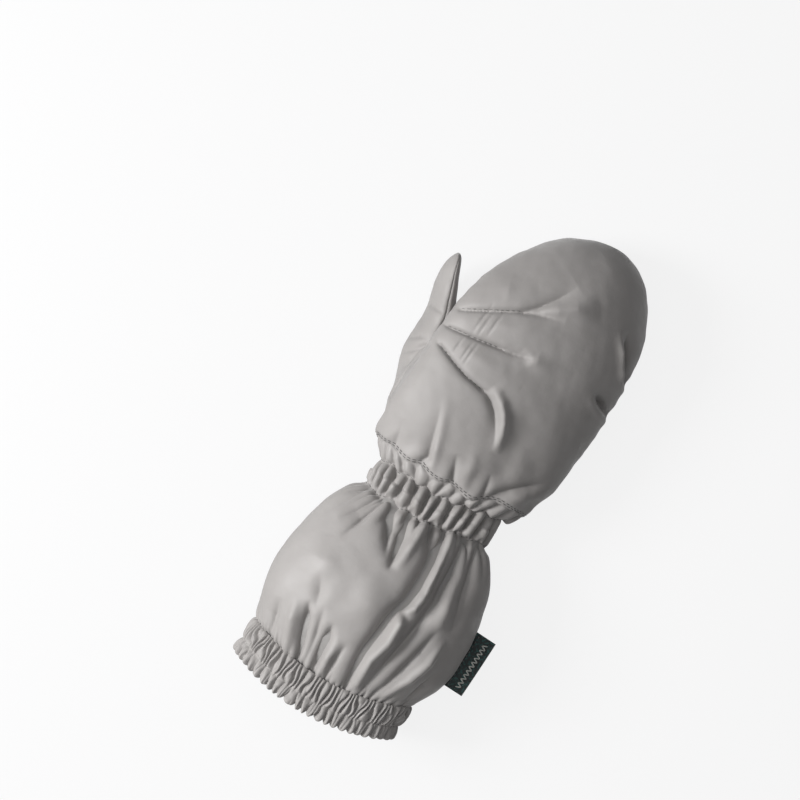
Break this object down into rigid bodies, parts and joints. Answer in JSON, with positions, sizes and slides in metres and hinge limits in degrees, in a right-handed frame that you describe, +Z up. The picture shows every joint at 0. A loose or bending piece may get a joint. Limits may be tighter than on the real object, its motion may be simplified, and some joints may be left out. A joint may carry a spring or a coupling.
{
  "type": "ski mitten",
  "caption": "Insulated right-hand ski mitten for a small child, with a darted back, a side thumb, a gathered wrist, a ballooned gauntlet and an elastic hem.",
  "frame": {"origin": "on the surface that the mitten lies on palm down, in the middle of its width and its length", "axes": "+Y from the cuff rim to the fingertip, +Z up through the back of the hand, +X towards the little-finger side"},
  "size_m": [0.1039, 0.229, 0.0498],
  "materials": {
    "shell_fabric": "smooth grey woven nylon with a soft sheen",
    "insulation": "white polyester batting",
    "fleece_lining": "brushed grey fleece",
    "cuff_lining": "plain grey taffeta",
    "elastic": "flat knitted elastic",
    "thread": "dark grey polyester sewing thread",
    "woven_tab": "dark green-black woven ribbon with a plain pattern"
  },
  "bodies": {
    "hand": {"back_shell": "shell_fabric", "palm_shell": "shell_fabric", "back_insulation": "insulation", "palm_insulation": "insulation", "back_lining": "fleece_lining", "palm_lining": "fleece_lining", "hand_seam_topstitch": "thread", "dart_stitches": "thread"},
    "thumb": {"thumb_back_shell": "shell_fabric", "thumb_face_shell": "shell_fabric", "thumb_back_insulation": "insulation", "thumb_face_insulation": "insulation", "thumb_back_lining": "fleece_lining", "thumb_face_lining": "fleece_lining"},
    "gauntlet": {"wrist_sleeve": "shell_fabric", "wrist_elastic_1": "elastic", "wrist_elastic_2": "elastic", "wrist_elastic_3": "elastic", "wrist_lining": "cuff_lining", "wrist_stitch_rows": "thread", "gauntlet_back_panel": "shell_fabric", "gauntlet_palm_panel": "shell_fabric", "gauntlet_lining": "cuff_lining", "hem_casing": "shell_fabric", "hem_elastic": "elastic", "hem_stitch_rows": "thread"},
    "label": {"label_tab": "woven_tab", "label_stitches": "thread"}
  },
  "joints": [
    {"name": "wrist_flex", "type": "hinge", "parent": "hand", "child": "gauntlet", "pos_m": [-0.001, -0.0165, 0.0235], "axis": [-1, 0, 0], "range_deg": [-50, 45], "stiffness_Nm_per_rad": 0.05, "deforming": ["wrist_sleeve", "wrist_elastic_1", "wrist_elastic_2", "wrist_elastic_3", "wrist_lining", "wrist_stitch_rows"]},
    {"name": "thumb_swing", "type": "hinge", "parent": "hand", "child": "thumb", "pos_m": [-0.036, 0.0055, 0.0175], "axis": [0, 0, 1], "range_deg": [0, 40], "stiffness_Nm_per_rad": 0.01},
    {"name": "label_flap", "type": "hinge", "parent": "gauntlet", "child": "label", "pos_m": [0.0455, -0.063, 0.023], "axis": [0, 1, 0], "range_deg": [-60, 60], "stiffness_Nm_per_rad": 0.0005}
  ]
}
